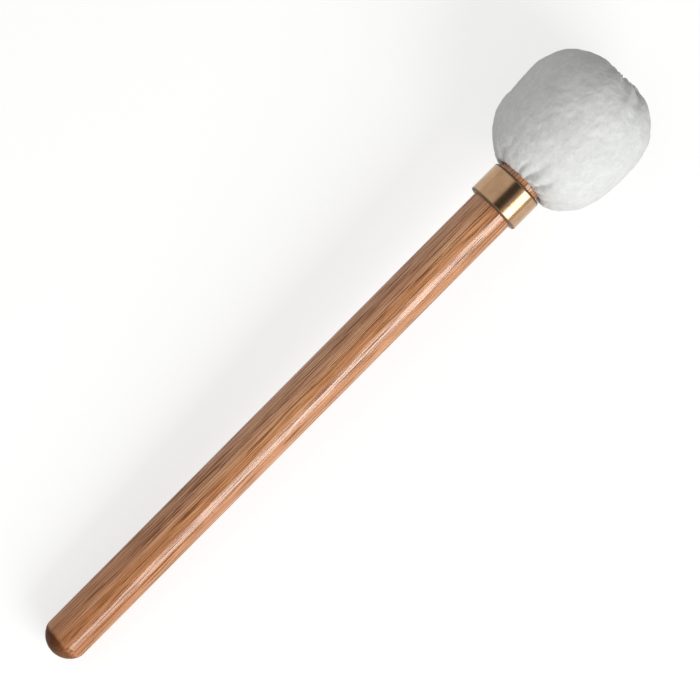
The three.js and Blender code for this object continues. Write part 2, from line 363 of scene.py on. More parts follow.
# %% [markdown]
# The handle is an oak dowel. Its butt is turned to a shallow dome that meets the shank in a faint edge,
# and past the collar it runs on into the head, where it steps down to a tenon with a pilot hole for
# the screw. Only its outline matters, so it is turned from a handful of corners.

# %% Handle
clearance = 0.3 * MM  # between pieces that fit together
dome_height = 7.5 * MM
dome_base = 10.85 * MM
edge_length = 1.1 * MM
tenon_radius = 7.95 * MM
pilot_radius = 2.4 * MM
screw_spare = 1.5 * MM
shoulder = measured("head_core")[0] - clearance
pilot_end = measured("core_screw")[0] - screw_spare


def dome(steps=24):
    """Corners of a round cap, from the butt's tip to the dome's base."""
    cap_radius = (dome_base**2 + dome_height**2) / (2 * dome_height)
    angles = np.linspace(0, math.asin(dome_base / cap_radius), steps)
    return [(cap_radius * (1 - math.cos(a)), cap_radius * math.sin(a), 0) for a in angles]


handle = turned_object("handle_wood", rounded([
    # station, radius and rounding of each corner
    *dome(),
    (dome_height + edge_length, handle_radius, 0.6 * MM),
    (shoulder, handle_radius, 0.3 * MM),
    (shoulder, tenon_radius, 0.3 * MM),
    (handle_end, tenon_radius, 1 * MM),
    (handle_end, pilot_radius, 0.2 * MM),
    (pilot_end, pilot_radius, 0),
    (pilot_end - pilot_radius, 0, 0),
]))
settle(handle, "oak", "handle_shaft")

# %% [markdown]
# Oak is all lines along the handle. The year rings, cut lengthwise, make bands a few millimetres wide;
# the wood grown each spring is open, with pores that show as long dark dashes and take up more of the
# finish. A solid texture does this on the shank and the dome at once: rings are distances from a pith
# outside the dowel, and noise stretched along the grain gives pores and fibres. Towards the butt the
# wood is painted darker and browner, as shade where less light reaches, and where hands hold it its
# lacquer is duller. The dome cuts across the grain, and end grain soaks up the finish, so it is darker;
# on the side away from the lamp it is painted darker still, as shade.

# %% Oak
grain_turn = (0.9, 0.008, 0.012)
ring_width = 2.4 * MM
pith_distance = 70 * MM
butt_shade_length = 150 * MM
worn_length = (20 * MM, 125 * MM)  # worn up to the first, whole from the second
shade_side_width = (-5 * MM, 4 * MM)
pale_wood, dark_wood = (0.9, 0.47, 0.235), (0.53, 0.205, 0.08)
spring_brown, patch_brown = (0.44, 0.16, 0.05), (0.43, 0.165, 0.055)
butt_shade_brown, pore_brown, end_brown = (0.38, 0.125, 0.038), (0.15, 0.05, 0.016), (0.11, 0.034, 0.01)
oak = new_finish("red_oak_satin", Specular_IOR_Level=0.1, Coat_Roughness=0.18, Coat_IOR=2.6)
along_grain = oak.on_the_mallet(grain_turn)
_, aside, height = oak.parts(along_grain)
bend = oak.clouds(along_grain, (6, 30, 30)) * (5 * MM)
bend += oak.clouds(along_grain, (30, 400, 400)) * (0.4 * MM)
ring = ((aside**2 + (height + pith_distance) ** 2) ** 0.5 + bend) / ring_width
season = ring.fraction()
spring_wood = (1 - season.between(0.25, 0.75)) * season.between(0, 0.08)
fibres = 0.35 * oak.clouds(along_grain, (15, 1300, 1300))
fibres += 0.65 * oak.clouds(along_grain, (22, 2700, 2700))
streaks = fibres.between(0.4, 0.6)
pores = oak.clouds(along_grain, (36, 2100, 2100)).between(0.5, 0.6) * (0.5 + 0.5 * spring_wood)
patches = oak.clouds(along_grain, (14, 100, 100)).between(0.3, 0.75)
colour = oak.mix(streaks, dark_wood, pale_wood)
colour = oak.mix(spring_wood * 0.32, colour, spring_brown)
colour = oak.mix(patches * 0.25, colour, patch_brown)
from_butt, across, _ = oak.parts(oak.on_the_mallet())
# Painted shade: the colour turns darker and browner towards the butt, where less light reaches.
butt_painted_shade = 1 - from_butt.between(0, butt_shade_length)
wear = 1 - from_butt.between(*worn_length)
colour = oak.mix(butt_painted_shade * 0.45, colour, butt_shade_brown)
colour = oak.mix(pores * 0.85, colour, pore_brown)
facing = oak.node("ShaderNodeTexCoord", output="Normal")
facing = oak.combine("DOT_PRODUCT", facing, towards_head, "Value")
# Painted shade: the dome's end grain is darker on the side away from the lamp.
painted_shade_side = across.between(*shade_side_width)
end_grain_and_side_shade = (facing.size() + 0.16 * painted_shade_side).between(0.3, 0.6)
colour = oak.mix(end_grain_and_side_shade * (0.68 + 0.3 * painted_shade_side), colour, end_brown)
oak.feed(
    Base_Color=colour,
    Roughness=0.4 + 0.3 * pores + 0.1 * end_grain_and_side_shade,
    Coat_Weight=(0.32 - 0.25 * pores) * (1 - 0.95 * end_grain_and_side_shade) * (1 - 0.45 * wear),
)
oak.relief(0.4 * streaks - 0.6 * pores, 0.1 * MM, 0.6)
oak.on(handle)

# %% [markdown]
# The collar is turned from brass bar, and its rims are broken by a small round. It needs a true bore,
# because its near rim stands proud of the wood, so its outline is a closed loop.

# %% Collar
rim_round = 1.1 * MM
bore_round = 0.15 * MM
bore_play = 0.05 * MM
collar_bore = handle_radius + bore_play
collar = turned_object("collar_brass", rounded([
    (collar_start, collar_bore, bore_round),
    (collar_start, collar_radius, rim_round),
    (collar_end, collar_radius, rim_round),
    (collar_end, collar_bore, bore_round),
], steps=8), columns=192, loop=True)
settle(collar, "brass", "brass_collar")

# %% [markdown]
# Satin brass is a metal with a clear colour and a soft shine. The lathe leaves fine lines round the
# ring, and handling leaves a faint, uneven film, so the colour and the roughness wander a little.
# Polish never quite reaches the rims, so they are browner there for about a millimetre, and their dark
# brown is also painted shade where the rims meet the wood.

# %% Brass
bright_brass, dull_brass = (0.53, 0.33, 0.19), (0.455, 0.275, 0.155)
rim_tarnish_shade_brown = (0.07, 0.036, 0.015)
brass = new_finish("brass_satin", Coat_Roughness=0.12)
spot = brass.on_the_mallet()
turning = brass.clouds(spot, (7000, 40, 40))
film = brass.clouds(spot, (180, 180, 180), 3)
station = brass.parts(spot)[0]
from_rim = (station - (collar_start + collar_end) / 2).size() - (collar_end - collar_start) / 2
# The rims' dark brown is partly tarnish and partly painted shade where the collar meets the wood.
rim_tarnish_and_shade = from_rim.between(-1.5 * MM, -0.5 * MM) * (0.7 + 0.3 * film)
colour = brass.mix(film.between(0.35, 0.7), bright_brass, dull_brass)
brass.feed(
    Base_Color=brass.mix(rim_tarnish_and_shade, colour, rim_tarnish_shade_brown),
    Metallic=1 - 0.7 * rim_tarnish_and_shade,
    Roughness=0.18 + 0.04 * film + 0.03 * turning + 0.25 * rim_tarnish_and_shade,
    Coat_Weight=0.3 * (1 - rim_tarnish_and_shade),
)
brass.relief(turning, 0.01 * MM, 0.12)
brass.on(collar)

# %% [markdown]
# The head's cover is a bag of thick white fleece. Its felt filling makes a barrel of it, widest a little
# past the middle. A thread draws its mouth tight round the handle, which throws the cloth into pleats,
# and the far end is gathered in the same way. The outline is two rounded squares that meet at the
# widest place, after a lip where the cloth rolls in to the handle. A curve through a few points would
# look the same, but a formula also gives the line a wall's thickness further in, for lining and felts.

# %% Outline of the cover
head_radius = 33.6 * MM
neck_length = 44.2 * MM
crown_length = 28.2 * MM
widest = 352.2 * MM
neck_powers = (3.3, 2.2)
crown_powers = (2.04, 2.93)
wall = 3.4 * MM
mouth_radius = handle_radius + clearance
crest_radius = mouth_radius + wall
lip_depth = 2.5 * MM


def barrel(turn, inset=0.0):
    """Stations and radii of the barrel as the turn runs from the neck, 0, to the crown, pi."""
    past = turn - math.pi / 2
    near = np.clip(np.cos(turn), 0, 1) ** (2 / neck_powers[0])
    far = np.clip(np.sin(past), 0, 1) ** (2 / crown_powers[0])
    forth = (crown_length - inset) * far
    station = widest + np.where(past < 0, (inset - neck_length) * near, forth)
    near = np.clip(np.sin(turn), 0, 1) ** (2 / neck_powers[1])
    far = np.clip(np.cos(past), 0, 1) ** (2 / crown_powers[1])
    return station, (head_radius - inset) * np.where(past < 0, near, far)


def turn_at_station(station, inset=0.0):
    """The turn at which the barrel's outline passes a station."""
    if station < widest:
        return math.acos(((widest - station) / (neck_length - inset)) ** (neck_powers[0] / 2))
    return math.pi / 2 + math.asin(((station - widest) / (crown_length - inset)) ** (crown_powers[0] / 2))


def turn_at_crown(radius, inset=0.0):
    """The turn past the widest place at which the outline has drawn in to a radius."""
    return math.pi / 2 + math.acos((radius / (head_radius - inset)) ** (crown_powers[1] / 2))


def even_steps(line, step):
    """The same line with its points an even step apart."""
    reach = np.concatenate([[0], np.cumsum(np.hypot(*np.diff(line, axis=0).T))])
    wanted = np.linspace(0, reach[-1], round(reach[-1] / step) + 1)
    return np.stack([np.interp(wanted, reach, line[:, i]) for i in (0, 1)], axis=1)


lip_turns = np.linspace(0, math.pi / 2, 60)
lip = np.stack([
    cover_start + lip_depth * (1 - np.sin(lip_turns)),
    crest_radius - (crest_radius - mouth_radius) * np.cos(lip_turns),
], axis=1)
body = np.stack(barrel(np.linspace(turn_at_station(cover_start), math.pi, 4000)), axis=1)
cloth_step = 1.08 * MM
outline = even_steps(np.concatenate([lip, body]), cloth_step)
print("outline:", len(outline), "rows, crown at", round(outline[-1, 0] / MM, 2), "mm")

# %% [markdown]
# A gathered cloth has rounded pleats with narrow creases between them. Each crease is written down
# with its angle, how far it wanders, its depth and its reach; the ones that the camera sees are where the
# real mallet has them, and the rest go round at about the same spacing. At the gather a pleat's back is
# an arc from crease to crease; further away only soft valleys are left.

# %% Creases
valley_widths = {"neck": 1.7 * MM, "crown": 2.6 * MM}
wander_lengths = {"neck": 14 * MM, "crown": 18 * MM}
usual_reach = 20 * MM
arcs_fade = (0.5 * MM, 5.5 * MM)  # how far from the gather the arcs give way to valleys
depth_power = 1.2  # above 1, so that a crease runs out gently
narrowing = 0.5  # the share of its width that a valley has lost at its end
neck_creases = [
    # angle and wander in degrees, depth and reach in mm
    (-62, 27, 2.0, 24), (-38, 5, 0.9, 8), (-14, 6, 1.9, 18), (3, 3, 2.5, 29), (16, 3, 0.7, 8),
    (29, -5, 2.3, 27), (47, -4, 0.8, 8), (62, -6, 1.6, 12), (84, -6, 1.4, 15), (108, 5, 2.0, 20),
    (134, -8, 1.3, 12), (158, 6, 2.2, 24), (183, -7, 1.6, 16), (208, 9, 2.1, 23), (231, 5, 1.4, 12),
    (254, 8, 2.0, 22), (276, 12, 1.5, 14),
]
crown_creases = [
    (-63, 5, 1.5, 17), (-30, 12, 2.3, 29), (-15, 2, 0.8, 12), (-1, 13, 2.4, 31), (26, -2, 0.8, 13),
    (53, -19, 3.0, 32), (80, -2, 1.3, 21), (103, -7, 1.2, 16), (127, 4, 2.0, 27), (150, 6, 1.0, 15),
    (174, -5, 2.2, 29), (198, 3, 0.9, 14), (222, -4, 2.0, 28), (246, 6, 1.1, 17), (272, 3, 1.9, 24),
]
print(len(neck_creases), "creases at the neck,", len(crown_creases), "at the crown")


def fade(value, near, far):
    """1 up to near, 0 beyond far, smooth between. Works on arrays."""
    share = np.clip((value - near) / (far - near), 0, 1)
    return 1 - share * share * (3 - 2 * share)


def pleats(angles, away, radius, creases, end):
    """How far the cloth sinks at these angles, in metres, at a distance away from the gather."""
    centres, wanders, depths, reaches = np.array(creases, float).T
    centres = np.radians(centres + wanders * min(1, away / wander_lengths[end])) % (2 * math.pi)
    depths = depths * MM * np.clip(1 - away / (reaches * MM), 0, 1) ** depth_power
    valley = valley_widths[end]
    spreads = valley * (reaches * MM - narrowing * away) / usual_reach / max(radius, valley)
    order = np.argsort(centres)
    centres, depths, spreads = centres[order], depths[order], spreads[order]
    after = np.searchsorted(centres, angles) % len(centres)
    before = after - 1
    width = (centres[after] - centres[before]) % (2 * math.pi)
    across = ((angles - centres[before]) % (2 * math.pi)) / width
    tight = 1 - np.sqrt(np.clip(4 * across * (1 - across), 0, 1))
    tight *= depths[before] + (depths[after] - depths[before]) * (1 - fade(across, 0, 1))
    loose = depths[before] * np.exp(-((across * width / spreads[before]) ** 2))
    loose += depths[after] * np.exp(-(((1 - across) * width / spreads[after]) ** 2))
    return loose + (tight - loose) * fade(away, *arcs_fade)


# %% [markdown]
# Hand-filled felt is never quite even, and the head's outline in the picture has flats and corners.
# A hand could sculpt them, but a list is easier to mend, so they are soft bumps and dents on the
# barrel: each has a station, an angle, a size and a height.

# %% Uneven filling
uneven = [
    # station in mm, angle in degrees, reach and height in mm
    (313, -90, 7.5, -1.0), (320.5, -90, 7.5, -0.6), (328, -90, 7.5, 0.4), (344, -90, 7.5, -0.2),
    (367, -90, 7.5, 0.1), (373, -90, 7.5, 0.3), (377.5, -90, 7.5, -1.1),
    (313, 90, 7.5, 0.1), (320.5, 90, 7.5, 0.5), (336, 90, 7.5, -0.1), (344, 90, 7.5, -0.1),
    (360, 90, 7.5, -0.6), (367, 90, 7.5, 0.5), (373, 90, 7.5, -1.1), (377.5, 90, 7.5, -0.3),
    (380.3, 0, 12, -0.5), (338, 20, 14, 0.4), (376, 0, 13, -1.3), (380, 180, 10, 0.8),
    (380, 88, 6, 0.8), (372, 42, 13, -1.0), (375, -38, 12, -0.7), (330, 140, 12, 0.8),
    (355, 160, 13, -0.6), (370, 200, 10, 0.8), (333, 215, 12, -0.6), (350, 240, 12, 0.6),
    (366, 135, 9, 0.5),
]
columns = 184
angles = round_angles(columns)
ground = place(outline[:, :1], outline[:, 1:], angles[None, :])
along = np.gradient(outline, axis=0)
along /= np.linalg.norm(along, axis=1, keepdims=True)
outward = np.stack([-along[:, 1], along[:, 0]], axis=1)

lift = np.zeros(ground.shape[:2])
for station, angle, reach, height in uneven:
    radius = float(barrel(turn_at_station(station * MM))[1])
    centre = place(station * MM, radius, math.radians(angle))
    away = np.linalg.norm(ground - centre, axis=2)
    lift += height * MM * np.exp(-((away / (reach * MM)) ** 2))
print("filling lifts the cloth by", round(lift.min() / MM, 2), "to", round(lift.max() / MM, 2), "mm")

# %% [markdown]
# The two sets of pleats now go on the barrel. At the neck they are measured from the lip's crest, and they
# fade inside the lip, where the thread holds the cloth to the wood. At the crown they run together
# in a dimple, so there they grow shallower with the radius, and round the dimple the cloth swells a
# little past the barrel, as it does behind the lip. The cloth's mouth ruffles, and it stands back from
# the collar a little more on top than at the sides.

# %% Pleated start of the cloth
most_lip_rows = 20
lip_roll = 4 * MM
mouth_stand_back = 2.3 * MM
stand_back_reach = 16 * MM
stand_back_spread = 1.5  # in square radians
ruffle_circle = 4.5  # the circle in the noise that the mouth follows: a larger one ruffles more
ruffle_height = 1.0 * MM
neck_swell, neck_swell_at, neck_swell_reach = 0.35 * MM, 5 * MM, 9 * MM
crown_gather = 6 * MM
crown_shallow = 7 * MM
crown_swell, crown_swell_radii = 0.55 * MM, (14 * MM, 32 * MM)
dimple_depth, dimple_radius = 2.6 * MM, 9 * MM
crest_row = int(np.argmin(outline[:most_lip_rows, 0]))
from_crest = np.concatenate([[0], np.cumsum(np.hypot(*np.diff(outline, axis=0).T))])
from_crest -= from_crest[crest_row]
from_top = (angles + math.pi) % (2 * math.pi) - math.pi
stand_back = mouth_stand_back * np.exp(-(from_top**2) / stand_back_spread)
ruffle = [
    noise.noise(Vector((ruffle_circle * math.cos(a), ruffle_circle * math.sin(a), 0.4)))
    for a in angles
]
stand_back += ruffle_height * np.array(ruffle)
start = np.zeros_like(ground)
for row, (station, radius) in enumerate(outline):
    inside_lip = fade(-from_crest[row], 0, lip_roll)
    back = stand_back * fade(from_crest[row], 0, stand_back_reach) * inside_lip
    if station < widest:
        away = max(0, from_crest[row])
        sink = pleats(angles, away, radius, neck_creases, "neck") * inside_lip
        sink -= neck_swell * fade(abs(from_crest[row] - neck_swell_at), 0, neck_swell_reach)
    else:
        away = max(0, radius - crown_gather)
        sink = pleats(angles, away, radius, crown_creases, "crown") * min(1, radius / crown_shallow)
        back = crown_swell * fade(radius, *crown_swell_radii)
        back -= dimple_depth * fade(radius, 0, dimple_radius)
    push = lift[row] - sink
    start[row] = place(station + outward[row, 0] * push + back, radius + outward[row, 1] * push, angles)
start[-1] = start[-1].mean(axis=0)
print("start of the cloth:", start.shape)

# %% [markdown]
# Now the cloth is let go. As a closed bag under pressure, with its mouth and its crown held, its pleats
# plump up and pull at each other as real cloth does, which is hard to draw by hand. The solver is
# happiest with things about as large as a cushion, so the bag is ten times its size while it swells.
# What is kept is how far each point moved, less what all points of a row share, so that the head
# keeps its outline.

# %% Cloth under pressure
cloth_pressure = 25
cloth_frames = 20
most_movement = 2.2 * MM
solver_scale = 10
crown_rows_held = 6
spare_cloth = {"neck": 0.12, "middle": 0.01, "crown": 0.14}  # how much wider than its place it is cut
neck_spare_reach = 24 * MM
crown_spare_radii = (8 * MM, 27 * MM)
least_climb = 0.2  # of a step, where the cloth turns across the axis


def as_cut(points):
    """The cloth before it is gathered: as long as here, but round, and a little too wide at its ends."""
    rows, columns = points.shape[:2]
    girths = np.linalg.norm(points - np.roll(points, 1, axis=1), axis=2).sum(axis=1)
    spare = spare_cloth["middle"]
    spare += (spare_cloth["neck"] - spare) * fade(from_crest[:rows], 0, neck_spare_reach)
    in_crown = fade(outline[:rows, 1], *crown_spare_radii) * (outline[:rows, 0] > widest)
    spare += (spare_cloth["crown"] - spare) * in_crown
    radii = girths * (1 + spare) / (2 * math.pi)
    steps = np.linalg.norm(np.diff(points, axis=0), axis=2).mean(axis=1)
    climbs = np.sqrt(np.maximum(steps**2 - np.diff(radii) ** 2, (least_climb * steps) ** 2))
    stations = outline[0, 0] + np.concatenate([[0], np.cumsum(climbs)])
    return place(stations[:, None], radii[:, None], angles[None, :])


def swollen(points, held):
    """Where the points of a closed grid go when it swells. Held is each point's pinning, 0 to 1."""
    rows, columns = points.shape[:2]
    last = (rows - 1) * columns
    caps = [tuple(range(columns))[::-1], tuple(range(last, last + columns))]
    mesh = bpy.data.meshes.new("swelling_bag")
    mesh.from_pydata((points * solver_scale).reshape(-1, 3).tolist(), [], grid_faces(rows, columns) + caps)
    bag = bpy.data.objects.new("swelling_bag", mesh)
    bpy.context.scene.collection.objects.link(bag)
    bag.shape_key_add(name="gathered")
    cut = bag.shape_key_add(name="cut")
    cut.data.foreach_set("co", (as_cut(points) * solver_scale).ravel())
    pins = bag.vertex_groups.new(name="held")
    for i, share in enumerate(held.ravel()):
        if share > 0:
            pins.add([i], float(share), "REPLACE")
    cloth = bag.modifiers.new("cloth", "CLOTH")
    cloth.settings.quality = 6
    cloth.settings.mass = 0.05
    cloth.settings.tension_stiffness = 15
    cloth.settings.compression_stiffness = 15
    cloth.settings.shear_stiffness = 5
    cloth.settings.bending_stiffness = 0.5
    cloth.settings.rest_shape_key = cut
    cloth.settings.vertex_group_mass = "held"
    cloth.settings.use_pressure = True
    cloth.settings.uniform_pressure_force = cloth_pressure
    cloth.settings.effector_weights.gravity = 0
    cloth.collision_settings.use_collision = False
    cloth.point_cache.frame_start = 1
    cloth.point_cache.frame_end = cloth_frames
    scene = bpy.context.scene
    for step in range(1, cloth_frames + 1):
        scene.frame_set(step)
    seen = bag.evaluated_get(bpy.context.evaluated_depsgraph_get())
    moved = np.empty(3 * len(mesh.vertices))
    seen.data.vertices.foreach_get("co", moved)
    scene.frame_set(1)
    bpy.data.objects.remove(bag)
    bpy.data.meshes.remove(mesh)
    return moved.reshape(points.shape) / solver_scale


sheet = start
held = np.zeros(start.shape[:2])
held[: crest_row + 1] = 1
held[-crown_rows_held:] = 1
moved = swollen(start[:-1], held[:-1]) - start[:-1]
spokes = place(0, 1, angles) - np.array(butt)
outwards = np.einsum("rcx,cx->rc", moved, spokes)
onwards = moved @ np.array(towards_head)
print("the cloth's rows swell by", round(outwards.mean(axis=1).max() / MM, 2), "mm at most")
outwards -= outwards.mean(axis=1, keepdims=True)
onwards -= onwards.mean(axis=1, keepdims=True)
moved = outwards[..., None] * spokes + onwards[..., None] * np.array(towards_head)
far = np.linalg.norm(moved, axis=2, keepdims=True)
print("its points move by", round(far.mean() / MM, 2), "mm, at most", round(far.max() / MM, 2))
moved *= np.minimum(1, most_movement / np.maximum(far, 1e-9))
sheet = np.concatenate([start[:-1] + moved, start[-1:]])

# %% [markdown]
# The cloth is thick, so the cover also gets an inside: the barrel again, a wall's thickness further in,
# with a hem that lies on the handle, a groove in it for the thread, and the tied-off tuft that
# hangs inside the crown. A Solidify modifier would thicken the cloth but leave these out, so outside
# and inside are drawn as one closed grid, which is subdivided once.

# %% Cover
hem_face = cover_start + 5.4 * MM
thread_station = cover_start + 3.55 * MM
groove_half = 1.0 * MM
groove_radius = mouth_radius + 1.7 * MM
tuft_radius = 3.6 * MM
tuft_length = 7 * MM
crown_hole = 5.6 * MM
ceiling = float(barrel(turn_at_crown(crown_hole, wall), wall)[0])
inner_turns = np.linspace(turn_at_crown(crown_hole, wall), turn_at_station(hem_face, wall), 18)
lining = np.concatenate([
    rounded([
        (ceiling - tuft_length, 0, 0),
        (ceiling - tuft_length, tuft_radius, 0.8 * MM),
        (ceiling, tuft_radius, 0.3 * MM),
        (ceiling, crown_hole, 0),
    ], steps=2)[:-1],
    np.stack(barrel(inner_turns, wall), axis=1),
    [
        (hem_face, mouth_radius),
        (thread_station + groove_half, mouth_radius),
        (thread_station + groove_half, groove_radius),
        (thread_station - groove_half, groove_radius),
    ],
])
inside = place(lining[:, :1], lining[:, 1:], angles[None, :])
whole = np.concatenate([sheet, inside])
cover = mesh_object("cover_fleece", whole, grid_faces(len(whole), columns, loop=True), sharp=80)


def apply_modifiers(piece):
    """Replaces the piece's mesh by what its modifiers make of it."""
    seen = piece.evaluated_get(bpy.context.evaluated_depsgraph_get())
    mesh = bpy.data.meshes.new_from_object(seen)
    piece.modifiers.clear()
    piece.data = mesh


cover.modifiers.new("finer", "SUBSURF").levels = 1
apply_modifiers(cover)
settle(cover, "fleece", "fleece_cover")

# %% [markdown]
# Fleece is brushed, so its face is a nap of short fibres that lie in small clumps. A bump would shade
# them but leave the outline smooth, so they are real relief here: each outer point moves along its
# normal by noise of four sizes. Points that lie close to the lining are inside, and stay.

# %% Nap
nap_sizes = [(12.0, 0.35), (5.0, 0.28), (2.6, 0.15), (1.5, 0.08)]  # size and height of the clumps, in mm
nap_depths = (0.4 * MM, 1.2 * MM)  # from the lining: no nap up to the first, full nap from the second


def raise_nap(piece):
    """Moves the points of the cover's outside along their normals."""
    vertices = piece.data.vertices
    points = np.empty(3 * len(vertices))
    normals = np.empty(3 * len(vertices))
    vertices.foreach_get("co", points)
    vertices.foreach_get("normal", normals)
    points, normals = points.reshape(-1, 3), normals.reshape(-1, 3)
    away = points - np.array(butt)
    stations = away @ np.array(towards_head)
    radii = np.linalg.norm(away - np.outer(stations, towards_head), axis=1)
    inner = np.stack(barrel(np.linspace(0, math.pi, 300), wall), axis=1)
    depth = np.empty(len(points))
    for i, spot in enumerate(np.stack([stations, radii], axis=1)):
        depth[i] = math.sqrt(np.min(np.sum((inner - spot) ** 2, axis=1)))
    outer = 1 - fade(depth, *nap_depths)
    heights = np.zeros(len(points))
    for size, height in nap_sizes:
        heights += height * MM * np.array([noise.noise(Vector(p) / (size * MM)) for p in points])
    points += normals * (heights * outer)[:, None]
    vertices.foreach_set("co", points.ravel())
    piece.data.update()
    print("nap from", round(heights.min() / MM, 3), "to", round(heights.max() / MM, 3), "mm")


raise_nap(cover)

# %% [markdown]
# The colour of fleece hardly changes, but it isn't flat: its tone wanders a little and follows the
# clumps' bump, so their tips are lighter and their roots are painted greyer, as shade. Its mouth is
# painted a little brown, as shade tinted by the light that the wood throws back there. Hair could be grown
# on it, but then the cover would no longer be one plain mesh, so a fine bump stands for the smallest
# clumps, and sheen for the fibres that catch the light at the edges.

# %% Fleece
fleece_tips, fleece_shaded_roots = (0.86, 0.87, 0.865), (0.735, 0.75, 0.745)
mouth_shade_brown = (0.36, 0.27, 0.20)
mouth_shade_reach, mouth_shade_waver = (0.2 * MM, 2.6 * MM), 6 * MM
fleece = new_finish(
    "fleece_white", Roughness=0.95, Specular_IOR_Level=0.15, Sheen_Weight=0.25, Sheen_Roughness=0.6
)
spot = fleece.on_the_mallet()
smudge = fleece.clouds(spot, (110, 110, 110))
tuft = fleece.clouds(spot, (190, 360, 360))
clump = fleece.clouds(spot, (520, 900, 900))
fibre = fleece.clouds(spot, (2300, 2300, 2300), 3, 0.65)
# Partly random tone, partly painted shade: the clumps' roots, low in the bump, are greyer.
tone_and_root_shade = 0.2 * smudge + 0.3 * tuft + 0.3 * clump + 0.2 * fibre
colour = fleece.mix(tone_and_root_shade.between(0.35, 0.65), fleece_shaded_roots, fleece_tips)
# Painted shade: the mouth is tinted brown, like the light that the wood throws back there.
from_mouth = fleece.parts(spot)[0] - cover_start + (smudge - 0.5) * mouth_shade_waver
mouth_painted_shade = (1 - from_mouth.between(*mouth_shade_reach)) * clump.between(0.35, 0.65)
colour = fleece.mix(mouth_painted_shade * 0.6, colour, mouth_shade_brown)
fleece.feed(Base_Color=colour)
fleece.relief(0.35 * tuft + 0.4 * clump + 0.25 * fibre, 0.45 * MM, 0.6)
fleece.on(cover)

# %% [markdown]
# Under the cover the head is built up: hard felt wound straight on the core, soft felt round it, and a
# felt pad at each end. None of it shows, but each piece is there, so each gets its rounded edges
# and felt's matted face. The pads are turned like the rest, then roughened a little.

# %% Felts
felt_inset = wall + clearance
mat_depth = 0.12 * MM
mat_size = 3 * MM
core_start, core_end = measured("head_core")[:2]


def barrel_line(first_turn, last_turn, count=14):
    """Corners along the felt's outside."""
    return [(s, r, 0) for s, r in zip(*barrel(np.linspace(first_turn, last_turn, count), felt_inset))]


def felt_piece(name, corners, slot, node):
    """A turned felt ring with a slightly uneven face."""
    piece = turned_object(name, rounded(corners, steps=3), columns=96, loop=True)
    for vertex in piece.data.vertices:
        vertex.co -= vertex.normal * mat_depth * (1 + noise.noise(vertex.co / mat_size))
    settle(piece, slot, node)
    return piece


hard_inner, hard_outer = measured("hard_felt_wrap")[2:]
soft_inner = measured("soft_felt_wrap")[2]
pad_start = hem_face + clearance
crown_face = core_end + clearance
edge = 0.6 * MM
hard_felt = felt_piece("felt_hard_wrap", [
    (core_start, hard_inner, edge), (core_start, hard_outer, edge),
    (core_end, hard_outer, edge), (core_end, hard_inner, edge),
], "hard_felt", "hard_felt_wrap")
soft_felt = felt_piece("felt_soft_wrap", [
    (core_start, soft_inner, edge),
    *barrel_line(turn_at_station(core_start, felt_inset), turn_at_station(core_end, felt_inset), 24),
    (core_end, soft_inner, edge),
], "soft_felt", "soft_felt_wrap")
neck_pad = felt_piece("felt_neck_pad", [
    (pad_start, mouth_radius, edge),
    *barrel_line(turn_at_station(pad_start, felt_inset), turn_at_station(shoulder, felt_inset)),
    (shoulder, mouth_radius, edge),
], "soft_felt", "neck_felt_pad")
crown_pad = felt_piece("felt_crown_pad", [
    (crown_face, crown_hole, edge),
    *barrel_line(turn_at_station(crown_face, felt_inset), turn_at_crown(crown_hole, felt_inset), 16),
], "soft_felt", "crown_felt_pad")


def felt_finish(name, pale, dark):
    """Matted wool between two colours."""
    felt = new_finish(name, Roughness=0.95, Sheen_Weight=0.3, Sheen_Roughness=0.6)
    mat = felt.clouds(felt.on_the_mallet(), (700, 700, 700), 4, 0.65)
    felt.feed(Base_Color=felt.mix(mat.between(0.35, 0.65), dark, pale))
    felt.relief(mat, 0.3 * MM, 0.6)
    return felt


grey_felt = felt_finish("felt_grey", pale=(0.52, 0.50, 0.46), dark=(0.40, 0.385, 0.35))
grey_felt.on(hard_felt)
cream_felt = felt_finish("felt_cream", pale=(0.80, 0.78, 0.73), dark=(0.68, 0.66, 0.61))
cream_felt.on(soft_felt, neck_pad, crown_pad)

# %% [markdown]
# Each draw thread is two plies twisted together, laid in a ring and tied with a small knot. Curves with
# a round bevel could draw it, but the grids are at hand: a ply is a tube swept along its path, and the
# knot is a trefoil of a thinner tube. The fine linen is uneven in colour along its strands.

# %% Draw threads
ply_radius = 0.24 * MM
ply_offset = 0.2 * MM
ring_height = 0.45 * MM  # of the ring's middle over the groove
twist_length = 2.2 * MM
knot_ply_radius = 0.16 * MM
knot_size = 0.26 * MM
knot_lobe = 0.45  # how much further out its three lobes reach, as a share of its size
knot_wave = 0.2 * MM
ring_steps, knot_steps = 480, 90
linen_pale, linen_dark = (0.86, 0.83, 0.75), (0.70, 0.66, 0.56)


def tube(path, radius, sides=8):
    """Points of a closed tube along a closed path."""
    ahead = np.roll(path, -1, axis=0) - np.roll(path, 1, axis=0)
    ahead /= np.linalg.norm(ahead, axis=1, keepdims=True)
    beside = np.cross(ahead, np.array(towards_head))
    beside /= np.linalg.norm(beside, axis=1, keepdims=True)
    above = np.cross(beside, ahead)
    turns = round_angles(sides)[None, :, None]
    return path[:, None] + radius * (np.cos(turns) * beside[:, None] + np.sin(turns) * above[:, None])


